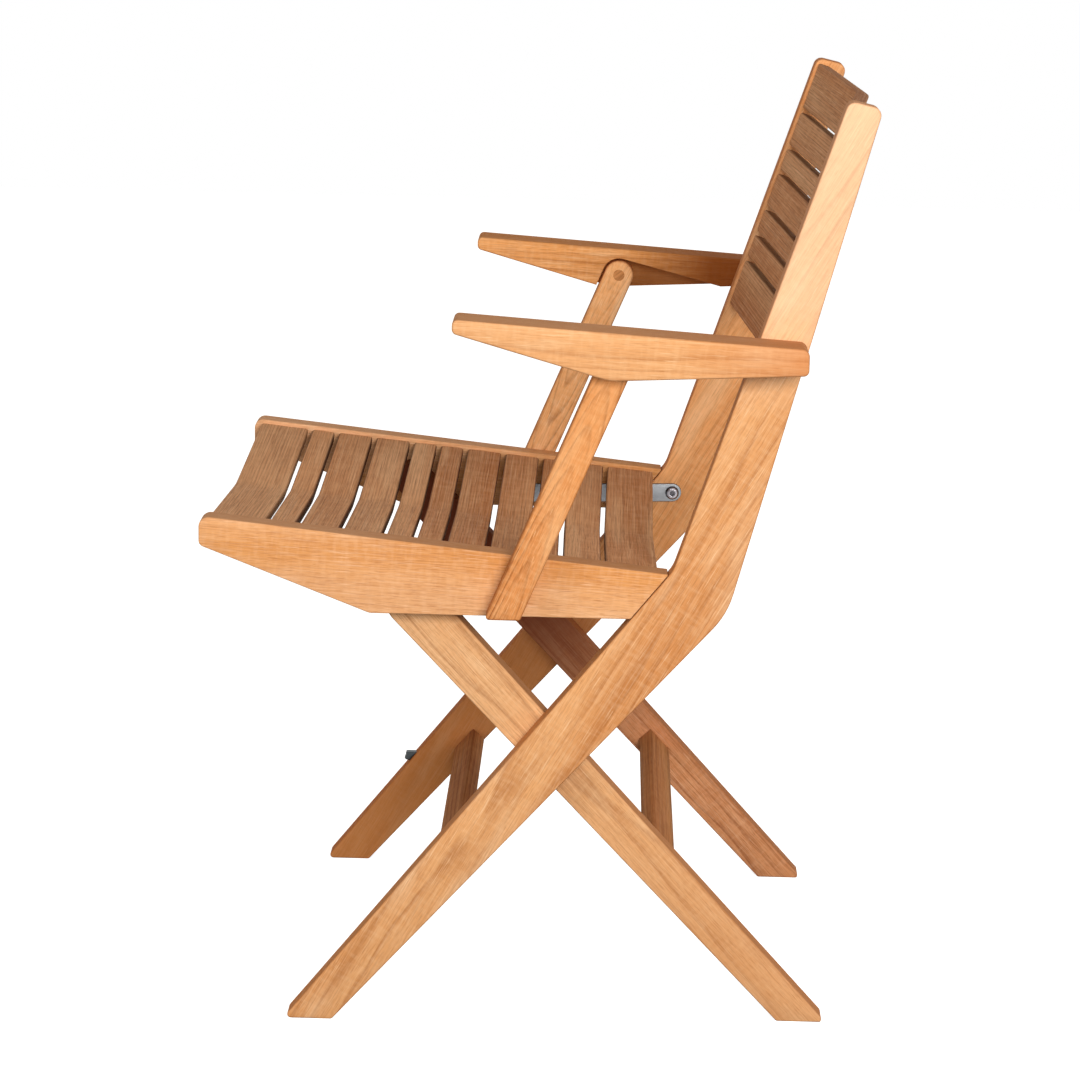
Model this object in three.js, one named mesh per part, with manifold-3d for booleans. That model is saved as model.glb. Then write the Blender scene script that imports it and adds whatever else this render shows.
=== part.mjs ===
// Folding teak armchair: scissor legs, slatted seat and back, arms that fold with the seat.
// Millimetres. X runs across the chair, +Y to its back, +Z up.
// The origin is on the floor, in the middle of the chair's width and depth.
import * as THREE from 'three';
import { mergeVertices } from 'three/addons/utils/BufferGeometryUtils.js';
import Module from 'manifold-3d';

const wasm = await Module();
wasm.setup();

// Overall sizes of the side frames
const frameWidth = 492;
const chairHeight = 872.5;
const boardThickness = 24;
const layerGap = 1.6;
const fitGap = 0.3;
const runningGap = 0.4;
const edgeEase = 1.6;

// Front legs: each is one bent board with the back's stile
const frontFootY = -228.4;
const frontFootWidth = 46.3;
const bendRise = 11.4;
const stileTopWidth = 31;
const legFrontRakeAngle = 38.56;
const legRearRakeAngle = 41.6;
const stileFrontRakeAngle = 18.44;
const stileRearRakeAngle = 14.95;
const stileTopSlopeAngle = 13;
const footRadius = 3.5;
const stileTopRadius = 8;
const bendFrontRadius = 30;
const bendRearRadius = 90;

// Rear legs
const rearFootY = 239.7;
const rearFootWidth = 43;
const rearLegTopHalfWidth = 31.8;
const rearLegShoulderDrop = 40.8;
const rearLegTopRadius = 18;
const rearLegTopSweepAngle = 100;

// Pivots of the folding linkage, each measured from the board or the pivot before it
const linkRearSetback = 4.6;
const linkRearDrop = 35.4;
const linkReach = 157.9;
const linkFall = 4.1;
const legTopReach = 114.9;
const legTopRise = 15.3;
const armPivotSetback = 29.6;
const crossingLead = 1;
const armPivotDrop = 13.5;

// Seat rails
const railFrontY = -305;
const railTopHeight = 452;
const railTopSlopeAngle = 5.86;
const railDepth = 55.3;
const railTaperLength = 157;
const railTaperAngle = 20.9;
const railBearingGap = 0.8;
const railFrontRadius = 6;
const railRearRadius = 5;
const railKinkRadius = 60;

// Slats: plain widths, shared by the seat and the back
const narrowSlatWidth = 23.2;
const wideSlatWidth = 34.8;
const slatGap = 5;
const slatEase = 1.4;
const seatRearSlatWidth = 47.8;
const seatFrontSlatWidth = 49.6;
const seatSlatThickness = 11;
const seatSlatSetback = 3.5;
const seatDish = 17;
const seatSlatsInset = 5.8;
const backLowSlatWidth = 48;
const backTopSlatWidth = 45;
const backSlatThickness = 12.5;
const backSlatSetback = 4.5;
const backDish = 22;
const backSlatsTopDrop = 4.8;
const dishCreaseRadius = 70;

// Stretchers between the legs
const stretcherWidth = 29;
const stretcherThickness = 16;
const frontStretcherHeight = 140;
const rearStretcherHeight = 147;

// Armrests
const armThickness = 46;
const armGap = 1;
const armReach = 146.4;
const armRearOverhang = 11.7;
const armRise = 220.4;
const armTopSlopeAngle = 3.6;
const armTipDepth = 12.5;
const armBellyReach = 7.4;
const armBellyDepth = 43;
const armRearDepth = 24;
const armTipRadius = 5;
const armBellyRadius = 60;
const armRearRadius = 6;

// Arm struts and the recess that takes them
const strutWidth = 30;
const strutThickness = 22;
const strutFootBelowPivot = 13.5;
const strutFootRadius = 3;
const recessClearance = 1.6;
const foldAngle = 98;

// Steel links
const linkWidth = 19;
const linkThickness = 4;

// Pins, bolts and plugs
const heavyPinRadius = 5;
const lightPinRadius = 4;
const pinBlindDepth = 13;
const railPinDepth = 8;
const boltHeadRadius = 7;
const boltHeadHeight = 4.4;
const boltHeadRimHeight = 1.2;
const boltSocketRadius = 2.6;
const boltSocketDepth = 2.4;
const washerRadius = 10;
const plugRadius = 6;
const plugDepth = 6;

// Fold catch on the front edge of one front leg
const catchTopHeight = 117;
const catchDrop = 8;
const catchTail = 8;
const catchReach = 7;
const catchLip = 2;
const catchWidth = 14;

// Facets of round work
const cornerSteps = 4;
const roundSteps = 24;
const domeSteps = 4;
const socketSides = 6;
const cutOverrun = 2;
const longestArcReachShare = 0.48;

// Finishes
const sideTeak = { color: 0xd9a066, roughness: 0.62, metalness: 0 };
const slatTeak = { color: 0xa9794f, roughness: 0.66, metalness: 0 };
const steel = { color: 0xa9a8a6, roughness: 0.34, metalness: 1 };

// Places across the chair
const frameOuterX = frameWidth / 2;
const frameInnerX = frameOuterX - boardThickness;
const rearLegOuterX = frameInnerX - layerGap;
const rearLegInnerX = rearLegOuterX - boardThickness;
const armInnerX = frameOuterX + armGap;
const armOuterX = armInnerX + armThickness;
const strutOuterX = armInnerX + strutThickness;

const { degToRad } = THREE.MathUtils;
const tanDeg = (degrees) => Math.tan(degToRad(degrees));
const point = (y, z) => new THREE.Vector2(y, z);
const heading = (degrees) => point(Math.cos(degToRad(degrees)), Math.sin(degToRad(degrees)));
const stepped = (start, direction, distance) => start.clone().addScaledVector(direction, distance);

// Where two lines meet, each given by a point and a heading.
function crossingOf(startA, alongA, startB, alongB) {
  const between = startB.clone().sub(startA);
  return stepped(startA, alongA, between.cross(alongB) / alongA.cross(alongB));
}

// Replaces each corner that has a radius by an arc that touches both of its sides.
function roundedOutline(corners) {
  const outline = [];
  corners.forEach(({ at, radius = 0 }, i) => {
    const before = corners[(i + corners.length - 1) % corners.length].at.clone().sub(at);
    const after = corners[(i + 1) % corners.length].at.clone().sub(at);
    const halfAngle = Math.acos(before.dot(after) / (before.length() * after.length())) / 2;
    const longest = longestArcReachShare * Math.min(before.length(), after.length());
    const reach = Math.min(radius / Math.tan(halfAngle), longest);
    if (reach === 0) {
      outline.push(at.clone());
      return;
    }
    const usedRadius = reach * Math.tan(halfAngle);
    const inward = before.clone().normalize().add(after.clone().normalize()).normalize();
    const centre = stepped(at, inward, usedRadius / Math.sin(halfAngle));
    const first = stepped(at, before.clone().normalize(), reach).sub(centre).angle();
    const last = stepped(at, after.clone().normalize(), reach).sub(centre).angle();
    const turn = Math.atan2(Math.sin(last - first), Math.cos(last - first));
    for (let k = 0; k <= cornerSteps; k += 1) {
      const angle = first + (turn * k) / cornerSteps;
      outline.push(point(Math.cos(angle), Math.sin(angle)).multiplyScalar(usedRadius).add(centre));
    }
  });
  return outline;
}

// Points round part of a circle, by headings in degrees.
function arcPoints(centre, radius, fromDegrees, toDegrees, steps) {
  const turn = (toDegrees - fromDegrees) / steps;
  const angles = Array.from({ length: steps + 1 }, (_, k) => fromDegrees + turn * k);
  return angles.map((angle) => stepped(centre, heading(angle), radius));
}

// A board cut to a side-view outline, standing between two places across the chair.
// In the side-view group local x is the chair's y, local y its z, and local z its x.
function sideBoard(outline, fromX, toX, ease = edgeEase) {
  const lowX = Math.min(fromX, toX);
  const depth = Math.abs(toX - fromX) - 2 * ease;
  const geometry = new THREE.ExtrudeGeometry(new THREE.Shape(outline), {
    depth,
    bevelEnabled: ease > 0,
    bevelThickness: ease,
    bevelSize: ease,
    bevelOffset: -ease,
    bevelSegments: 1,
  });
  return geometry.translate(0, 0, lowX + ease);
}

// A round rod across the chair between two places.
function sideRod(centre, radius, fromX, toX, sides = roundSteps) {
  const rod = new THREE.CylinderGeometry(radius, radius, Math.abs(toX - fromX), sides);
  return rod.rotateX(Math.PI / 2).translate(centre.x, centre.y, (fromX + toX) / 2);
}

function toSolid(geometry) {
  const bare = geometry.clone();
  bare.deleteAttribute('normal');
  bare.deleteAttribute('uv');
  const merged = mergeVertices(bare);
  return new wasm.Manifold(new wasm.Mesh({
    numProp: 3,
    vertProperties: Float32Array.from(merged.attributes.position.array),
    triVerts: Uint32Array.from(merged.index.array),
  }));
}

function cutFrom(geometry, ...cutters) {
  const solid = cutters.reduce((rest, cutter) => rest.subtract(toSolid(cutter)), toSolid(geometry));
  const { vertProperties, triVerts } = solid.getMesh();
  const result = new THREE.BufferGeometry();
  result.setAttribute('position', new THREE.BufferAttribute(vertProperties, 3));
  result.setIndex(new THREE.BufferAttribute(triVerts, 1));
  result.computeVertexNormals();
  return result;
}

// A button-head bolt: its head is at headX, under the head is the joint, and its shank goes to tipX.
function buttonBolt(centre, headX, tipX) {
  const inward = Math.sign(tipX - headX);
  const shank = Math.abs(tipX - headX) - boltHeadHeight;
  const dome = Array.from({ length: domeSteps + 1 }, (_, k) => {
    const angle = (Math.PI / 2) * (k / domeSteps);
    const rise = boltHeadRimHeight + (boltHeadHeight - boltHeadRimHeight) * Math.sin(angle);
    return new THREE.Vector2(boltHeadRadius * Math.cos(angle), rise);
  });
  dome[domeSteps].x = 0;
  const profile = [
    new THREE.Vector2(0, -shank),
    new THREE.Vector2(lightPinRadius, -shank),
    new THREE.Vector2(lightPinRadius, 0),
    new THREE.Vector2(boltHeadRadius, 0),
    ...dome,
  ];
  const bolt = new THREE.LatheGeometry(profile, roundSteps);
  const cutDepth = boltSocketDepth + cutOverrun;
  const socket = new THREE.CylinderGeometry(boltSocketRadius, boltSocketRadius, cutDepth, socketSides);
  socket.translate(0, boltHeadHeight - boltSocketDepth + cutDepth / 2, 0);
  const seatX = headX + inward * boltHeadHeight;
  return cutFrom(bolt, socket).rotateX((-inward * Math.PI) / 2).translate(centre.x, centre.y, seatX);
}

const chair = new THREE.Group();
// Turns the side view upright: its x becomes the chair's y, its y the height, its z the width.
const sideView = new THREE.Group();
sideView.quaternion.setFromAxisAngle(new THREE.Vector3(1, 1, 1).normalize(), (2 * Math.PI) / 3);
chair.add(sideView);

function addPiece(group, name, geometry, finish) {
  const piece = new THREE.Mesh(geometry, new THREE.MeshStandardMaterial(finish));
  piece.name = name;
  group.add(piece);
  return piece;
}

// Left and right are the sitter's: the sitter looks along -Y.
const sides = [
  { label: 'left', sign: 1 },
  { label: 'right', sign: -1 },
];

// Edges of the bent front leg, as a start and a heading up along the edge
const upRake = (rake) => point(tanDeg(rake), 1).normalize();
const upToHeight = (edge, height) => stepped(edge.start, edge.along, (height - edge.start.y) / edge.along.y);
const legFrontEdge = { start: point(frontFootY, 0), along: upRake(legFrontRakeAngle) };
const legRearEdge = { start: point(frontFootY + frontFootWidth, 0), along: upRake(legRearRakeAngle) };

// The seat rail's bevelled rear end bears on the leg's front edge, and the leg bends just above it.
const railTopZ = (y) => railTopHeight - y * tanDeg(railTopSlopeAngle);
const railTopStart = point(railFrontY, railTopZ(railFrontY));
const awayFromLeg = point(-legFrontEdge.along.y, legFrontEdge.along.x);
const bearingStart = stepped(legFrontEdge.start, awayFromLeg, railBearingGap);
const railTopRear = crossingOf(railTopStart, heading(-railTopSlopeAngle), bearingStart, legFrontEdge.along);
const bendHeight = railTopRear.y + bendRise;
const bendFront = upToHeight(legFrontEdge, bendHeight);
const stileFrontEdge = { start: bendFront, along: upRake(stileFrontRakeAngle) };
const stileTopFront = upToHeight(stileFrontEdge, chairHeight);
const stileTopRear = stepped(stileTopFront, heading(-stileTopSlopeAngle), stileTopWidth);
const stileRearEdge = { start: stileTopRear, along: upRake(stileRearRakeAngle) };
const bendRear = crossingOf(legRearEdge.start, legRearEdge.along, stileRearEdge.start, stileRearEdge.along);

// Pivots of the seat. The arm, the strut, the link and the stile are a parallelogram,
// so the arm turns with the link.
const linkRearPivot = point(bendFront.x + linkRearSetback, bendFront.y - linkRearDrop);
const linkFrontPivot = point(linkRearPivot.x - linkReach, linkRearPivot.y - linkFall);
const legTopPivot = point(linkFrontPivot.x - legTopReach, linkFrontPivot.y + legTopRise);
const armTopHeight = railTopHeight + armRise;
const armTopZ = (y) => armTopHeight - y * tanDeg(armTopSlopeAngle);
const armTopStart = point(0, armTopHeight);
const alongArm = heading(-armTopSlopeAngle);
const stileUnderArm = crossingOf(armTopStart, alongArm, stileFrontEdge.start, stileFrontEdge.along);
const armPivotY = stileUnderArm.x + armPivotSetback;
const armPivot = point(armPivotY, armTopZ(armPivotY) - armPivotDrop);
const strutTopPivot = armPivot.clone().sub(linkRearPivot).add(linkFrontPivot);

// Rear legs run from their feet to the pivots in the seat rails, and cross the front legs on the way.
const headingTo = (start, end) => end.clone().sub(start).normalize();
function rearLegEdge(footY, topOffset) {
  const start = point(footY, 0);
  return { start, along: headingTo(start, point(legTopPivot.x + topOffset, legTopPivot.y)) };
}
const rearLegFrontEdge = rearLegEdge(rearFootY, -rearLegTopHalfWidth);
const rearLegRearEdge = rearLegEdge(rearFootY + rearFootWidth, rearLegTopHalfWidth);
const rearLegMiddle = rearLegEdge(rearFootY + rearFootWidth / 2, 0);
const legMiddle = {
  start: point(frontFootY + frontFootWidth / 2, 0),
  along: legFrontEdge.along.clone().add(legRearEdge.along).normalize(),
};
const middlesMeet = crossingOf(legMiddle.start, legMiddle.along, rearLegMiddle.start, rearLegMiddle.along);
const crossingPivot = point(middlesMeet.x - crossingLead, middlesMeet.y);

const legStileOutline = roundedOutline([
  { at: legFrontEdge.start, radius: footRadius },
  { at: legRearEdge.start, radius: footRadius },
  { at: bendRear, radius: bendRearRadius },
  { at: stileTopRear, radius: stileTopRadius },
  { at: stileTopFront, radius: stileTopRadius },
  { at: bendFront, radius: bendFrontRadius },
]);

function addLegStile({ label, sign }) {
  const mouthX = frameInnerX - cutOverrun;
  const blindX = frameInnerX + pinBlindDepth;
  const armMouthX = frameOuterX + cutOverrun;
  const armBlindX = frameOuterX - pinBlindDepth;
  const board = cutFrom(
    sideBoard(legStileOutline, sign * frameInnerX, sign * frameOuterX),
    sideRod(crossingPivot, heavyPinRadius + fitGap, sign * mouthX, sign * blindX),
    sideRod(linkRearPivot, lightPinRadius + fitGap, sign * mouthX, sign * blindX),
    sideRod(armPivot, heavyPinRadius + fitGap, sign * armBlindX, sign * armMouthX),
  );
  addPiece(sideView, `stile_leg_${label}`, board, sideTeak);
}

// The rear leg's round top end turns inside the seat rail.
const rearLegShoulder = legTopPivot.y - rearLegShoulderDrop;
const rearLegTopHeading = THREE.MathUtils.radToDeg(rearLegMiddle.along.angle());

const rearLegOutline = [
  ...roundedOutline([
    { at: upToHeight(rearLegFrontEdge, rearLegShoulder) },
    { at: rearLegFrontEdge.start, radius: footRadius },
    { at: rearLegRearEdge.start, radius: footRadius },
    { at: upToHeight(rearLegRearEdge, rearLegShoulder) },
  ]),
  ...arcPoints(
    legTopPivot,
    rearLegTopRadius,
    rearLegTopHeading - rearLegTopSweepAngle,
    rearLegTopHeading + rearLegTopSweepAngle,
    2 * cornerSteps,
  ),
];

function addRearLeg({ label, sign }) {
  const blindX = rearLegOuterX - pinBlindDepth;
  const board = cutFrom(
    sideBoard(rearLegOutline, sign * rearLegInnerX, sign * rearLegOuterX),
    sideRod(crossingPivot, heavyPinRadius + runningGap, sign * blindX, sign * (rearLegOuterX + cutOverrun)),
    sideRod(legTopPivot, heavyPinRadius + fitGap, sign * blindX, sign * (rearLegOuterX + cutOverrun)),
  );
  addPiece(sideView, `rear_leg_${label}`, board, sideTeak);
}

// A square bar across the chair, from its first corner along two sides of its section
function stretcherOutline(corner, along, across) {
  const farSide = stepped(corner, across, stretcherThickness);
  return [corner, farSide, stepped(farSide, along, stretcherWidth), stepped(corner, along, stretcherWidth)];
}

function addStretchers() {
  const frontCorner = upToHeight(legRearEdge, frontStretcherHeight);
  const downLeg = legRearEdge.along.clone().negate();
  const frontSection = stretcherOutline(frontCorner, downLeg, heading(180 - legRearRakeAngle));
  const frontReach = frameInnerX - fitGap;
  addPiece(sideView, 'front_stretcher', sideBoard(frontSection, -frontReach, frontReach), sideTeak);

  const middle = upToHeight(rearLegMiddle, rearStretcherHeight);
  const downRearLeg = rearLegMiddle.along.clone().negate();
  const acrossRearLeg = point(-downRearLeg.y, downRearLeg.x);
  const rearCorner = stepped(
    stepped(middle, downRearLeg, -stretcherWidth / 2),
    acrossRearLeg,
    -stretcherThickness / 2,
  );
  const rearSection = stretcherOutline(rearCorner, downRearLeg, acrossRearLeg);
  const rearReach = rearLegInnerX - fitGap;
  addPiece(sideView, 'rear_stretcher', sideBoard(rearSection, -rearReach, rearReach), sideTeak);
}

// Seat rails, in the same plane as the front legs
const railKink = point(railFrontY + railTaperLength, railTopHeight - railDepth);
const railFrontFoot = point(railFrontY, railKink.y + railTaperLength * tanDeg(railTaperAngle));
const railOutline = roundedOutline([
  { at: railFrontFoot, radius: railFrontRadius },
  { at: railKink, radius: railKinkRadius },
  { at: crossingOf(railKink, heading(0), bearingStart, legFrontEdge.along), radius: footRadius },
  { at: railTopRear, radius: railRearRadius },
  { at: railTopStart, radius: railFrontRadius },
]);

function addSeatRail({ label, sign }) {
  const boreRadius = lightPinRadius + fitGap;
  const boltBlindX = frameInnerX + pinBlindDepth;
  const pinBlindX = frameOuterX - railPinDepth;
  const board = cutFrom(
    sideBoard(railOutline, sign * frameInnerX, sign * frameOuterX),
    sideRod(linkFrontPivot, boreRadius, sign * (frameInnerX - cutOverrun), sign * boltBlindX),
    sideRod(linkFrontPivot, boreRadius, sign * pinBlindX, sign * (frameOuterX + cutOverrun)),
  );
  addPiece(sideView, `seat_rail_${label}`, board, sideTeak);
}

// Slats are sawn to a shallow V across the chair and lie between the side boards.
// In a slat group local x is the chair's width, y runs along the row, and z is the face's normal.
function slatGeometry(width, thickness, dish) {
  const halfSpan = frameInnerX - fitGap;
  const face = [
    { at: point(-halfSpan, 0) },
    { at: point(0, -dish), radius: dishCreaseRadius },
    { at: point(halfSpan, 0) },
    { at: point(halfSpan, -thickness) },
    { at: point(0, -dish - thickness), radius: dishCreaseRadius + thickness },
    { at: point(-halfSpan, -thickness) },
  ];
  const bevel = { bevelThickness: slatEase, bevelSize: slatEase, bevelOffset: -slatEase, bevelSegments: 1 };
  const shape = new THREE.Shape(roundedOutline(face));
  const geometry = new THREE.ExtrudeGeometry(shape, { depth: width - 2 * slatEase, ...bevel });
  return geometry.rotateX(Math.PI / 2).translate(0, width - slatEase, 0);
}

function addSlatRow(group, stem, widths, thickness, dish) {
  let reached = 0;
  widths.forEach((width, i) => {
    const slat = addPiece(group, `${stem}_${i + 1}`, slatGeometry(width, thickness, dish), slatTeak);
    slat.position.y = reached;
    reached += width + slatGap;
  });
}

// Seat slats, numbered from the rear to the front, below the rails' top edges
const seatSlatWidths = [
  seatRearSlatWidth, wideSlatWidth, narrowSlatWidth, wideSlatWidth, wideSlatWidth, narrowSlatWidth,
  narrowSlatWidth, wideSlatWidth, wideSlatWidth, narrowSlatWidth, seatFrontSlatWidth,
];
const seatDeck = new THREE.Group();
const seatNormal = heading(90 - railTopSlopeAngle);
const seatRearEdge = stepped(railTopRear, heading(180 - railTopSlopeAngle), seatSlatsInset);
const seatRear = stepped(seatRearEdge, seatNormal, -seatSlatSetback);
seatDeck.position.set(0, seatRear.x, seatRear.y);
seatDeck.rotation.set(degToRad(-railTopSlopeAngle), 0, Math.PI, 'XYZ');
chair.add(seatDeck);

// Back slats, numbered upwards, behind the stiles' front edges
const backSlatWidths = [
  backLowSlatWidth, narrowSlatWidth, narrowSlatWidth, wideSlatWidth, narrowSlatWidth, wideSlatWidth,
  backTopSlatWidth,
];
const backRest = new THREE.Group();
const backRowLength = backSlatWidths.reduce((sum, width) => sum + width + slatGap, -slatGap);
const backFront = stepped(stileTopFront, stileFrontEdge.along, -backSlatsTopDrop - backRowLength);
const backFoot = stepped(backFront, heading(-stileFrontRakeAngle), backSlatSetback);
backRest.position.set(0, backFoot.x, backFoot.y);
backRest.rotation.x = degToRad(90 - stileFrontRakeAngle);
chair.add(backRest);

// Armrests: deep boards that taper to the front, with a recess inside for the strut
const armFrontY = strutTopPivot.x - armReach;
const armRearY = armPivot.x + armRearOverhang;
const armBellyY = strutTopPivot.x - armBellyReach;
const armOutline = roundedOutline([
  { at: point(armFrontY, armTopZ(armFrontY)), radius: armTipRadius },
  { at: point(armFrontY, armTopZ(armFrontY) - armTipDepth), radius: armTipRadius },
  { at: point(armBellyY, armTopZ(armBellyY) - armBellyDepth), radius: armBellyRadius },
  { at: point(armRearY, armTopZ(armRearY) - armRearDepth), radius: armRearRadius },
  { at: point(armRearY, armTopZ(armRearY)), radius: armRearRadius },
]);
const strutDirection = linkFrontPivot.clone().sub(strutTopPivot).normalize();
const strutHeading = THREE.MathUtils.radToDeg(strutDirection.angle());
const foldedStrutHeading = strutHeading + foldAngle;

// The recess holds the strut's round top, and clears the strut from its standing to its folded place.
function recessOutline() {
  const radius = strutWidth / 2 + recessClearance;
  const length = strutTopPivot.distanceTo(linkFrontPivot);
  const arch = arcPoints(strutTopPivot, radius, foldedStrutHeading + 90, strutHeading + 270, 2 * cornerSteps);
  const foldedEnd = stepped(arch[0], heading(foldedStrutHeading), length);
  const standingEnd = stepped(arch[arch.length - 1], heading(strutHeading), length);
  return [foldedEnd, ...arch, standingEnd];
}

function addArmrest({ label, sign }) {
  const mouthX = armInnerX - cutOverrun;
  const pinEndX = strutOuterX + pinBlindDepth;
  const board = cutFrom(
    sideBoard(armOutline, sign * armInnerX, sign * armOuterX),
    sideBoard(recessOutline(), sign * mouthX, sign * (strutOuterX + recessClearance), 0),
    sideRod(strutTopPivot, lightPinRadius + fitGap, sign * strutOuterX, sign * pinEndX),
    sideRod(armPivot, heavyPinRadius + runningGap, sign * mouthX, sign * (armInnerX + pinBlindDepth)),
  );
  addPiece(sideView, `armrest_${label}`, board, sideTeak);
}

// Struts from the arms down to the seat rails, outside the rails
function strutOutline() {
  const across = point(-strutDirection.y, strutDirection.x);
  const half = strutWidth / 2;
  const foot = point(linkFrontPivot.x, linkFrontPivot.y - strutFootBelowPivot);
  const edgeFrom = (offset) => stepped(strutTopPivot, across, offset);
  const cornerAt = (offset) => crossingOf(edgeFrom(offset), strutDirection, foot, heading(0));
  const [rearCorner, frontCorner] = [cornerAt(half), cornerAt(-half)];
  const lowerEnd = roundedOutline([
    { at: edgeFrom(-half) },
    { at: frontCorner, radius: strutFootRadius },
    { at: rearCorner, radius: strutFootRadius },
    { at: edgeFrom(half) },
  ]);
  const arch = arcPoints(strutTopPivot, half, strutHeading + 90, strutHeading + 270, 2 * cornerSteps);
  return [...lowerEnd.slice(1, -1), ...arch];
}

function addStrut({ label, sign }) {
  const mouthX = armInnerX - cutOverrun;
  const boreRadius = lightPinRadius + runningGap;
  const board = cutFrom(
    sideBoard(strutOutline(), sign * armInnerX, sign * strutOuterX),
    sideRod(strutTopPivot, plugRadius + fitGap, sign * mouthX, sign * (armInnerX + plugDepth)),
    sideRod(strutTopPivot, boreRadius, sign * armInnerX, sign * (strutOuterX + cutOverrun)),
    sideRod(linkFrontPivot, boreRadius, sign * mouthX, sign * (armInnerX + pinBlindDepth)),
  );
  addPiece(sideView, `arm_strut_${label}`, board, sideTeak);
  const plugEndX = armInnerX + plugDepth - fitGap;
  const plug = sideRod(strutTopPivot, plugRadius, sign * armInnerX, sign * plugEndX);
  addPiece(sideView, `strut_plug_${label}`, plug, sideTeak);
}

// Flat steel links from the stiles forward to the seat rails
const linkHeading = THREE.MathUtils.radToDeg(linkRearPivot.clone().sub(linkFrontPivot).angle());
const linkOuterX = frameInnerX - runningGap;
const linkInnerX = linkOuterX - linkThickness;

function addLink({ label, sign }) {
  const outline = [
    ...arcPoints(linkRearPivot, linkWidth / 2, linkHeading - 90, linkHeading + 90, 2 * cornerSteps),
    ...arcPoints(linkFrontPivot, linkWidth / 2, linkHeading + 90, linkHeading + 270, 2 * cornerSteps),
  ];
  const holes = [linkRearPivot, linkFrontPivot].map((pivot) => sideRod(
    pivot,
    lightPinRadius + runningGap,
    sign * (linkInnerX - cutOverrun),
    sign * (linkOuterX + cutOverrun),
  ));
  const plate = cutFrom(sideBoard(outline, sign * linkInnerX, sign * linkOuterX, 0), ...holes);
  addPiece(sideView, `link_plate_${label}`, plate, steel);
}

function addFasteners({ label, sign }) {
  const headX = linkInnerX - fitGap - boltHeadHeight;
  const tipX = frameInnerX + pinBlindDepth - fitGap;
  const rearBolt = buttonBolt(linkRearPivot, sign * headX, sign * tipX);
  addPiece(sideView, `link_rear_bolt_${label}`, rearBolt, steel);
  const frontBolt = buttonBolt(linkFrontPivot, sign * headX, sign * tipX);
  addPiece(sideView, `link_front_bolt_${label}`, frontBolt, steel);

  const crossingPin = sideRod(
    crossingPivot,
    heavyPinRadius,
    sign * (rearLegOuterX - pinBlindDepth + runningGap),
    sign * (frameInnerX + pinBlindDepth - fitGap),
  );
  addPiece(sideView, `crossing_pin_${label}`, crossingPin, steel);
  const washerBlank = sideRod(
    crossingPivot,
    washerRadius,
    sign * (rearLegOuterX + runningGap),
    sign * (frameInnerX - fitGap),
  );
  const washerHole = sideRod(
    crossingPivot,
    heavyPinRadius + runningGap,
    sign * (rearLegOuterX - cutOverrun),
    sign * (frameInnerX + cutOverrun),
  );
  addPiece(sideView, `crossing_washer_${label}`, cutFrom(washerBlank, washerHole), steel);

  const legTopPin = sideRod(
    legTopPivot,
    heavyPinRadius,
    sign * (rearLegOuterX - pinBlindDepth + fitGap),
    sign * (frameInnerX - runningGap),
  );
  addPiece(sideView, `leg_top_pin_${label}`, legTopPin, steel);

  const armPin = sideRod(
    armPivot,
    heavyPinRadius,
    sign * (frameOuterX - pinBlindDepth + fitGap),
    sign * (armInnerX + pinBlindDepth - runningGap),
  );
  addPiece(sideView, `arm_pivot_pin_${label}`, armPin, steel);

  const strutTopPin = sideRod(
    strutTopPivot,
    lightPinRadius,
    sign * (armInnerX + plugDepth),
    sign * (strutOuterX + pinBlindDepth - fitGap),
  );
  addPiece(sideView, `strut_top_pin_${label}`, strutTopPin, steel);

  const strutFootPin = sideRod(
    linkFrontPivot,
    lightPinRadius,
    sign * (frameOuterX - railPinDepth + fitGap),
    sign * (armInnerX + pinBlindDepth - runningGap),
  );
  addPiece(sideView, `strut_foot_pin_${label}`, strutFootPin, steel);
}

// A small steel catch on the front edge of the right front leg
function addFoldCatch() {
  const edgeAt = (height, gap) => stepped(upToHeight(legFrontEdge, height), awayFromLeg, gap);
  const topBack = edgeAt(catchTopHeight, fitGap);
  const topFront = point(topBack.x - catchReach, catchTopHeight);
  const outline = [
    topBack,
    point(topFront.x, topBack.y),
    point(topFront.x, topBack.y - catchDrop),
    edgeAt(catchTopHeight - catchDrop - catchTail / 2, catchLip),
    edgeAt(catchTopHeight - catchDrop - catchTail, fitGap),
  ];
  const nearX = -(frameInnerX + frameOuterX - catchWidth) / 2;
  addPiece(sideView, 'fold_catch', sideBoard(outline, nearX - catchWidth, nearX, 0), steel);
}

sides.forEach(addLegStile);
addSlatRow(backRest, 'back_slat', backSlatWidths, backSlatThickness, backDish);
sides.forEach(addRearLeg);
addStretchers();
sides.forEach(addSeatRail);
addSlatRow(seatDeck, 'seat_slat', seatSlatWidths, seatSlatThickness, seatDish);
sides.forEach(addArmrest);
sides.forEach(addStrut);
sides.forEach(addLink);
sides.forEach(addFasteners);
addFoldCatch();

export default chair;
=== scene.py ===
import math

import bpy
import numpy as np
from mathutils import Matrix


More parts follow.
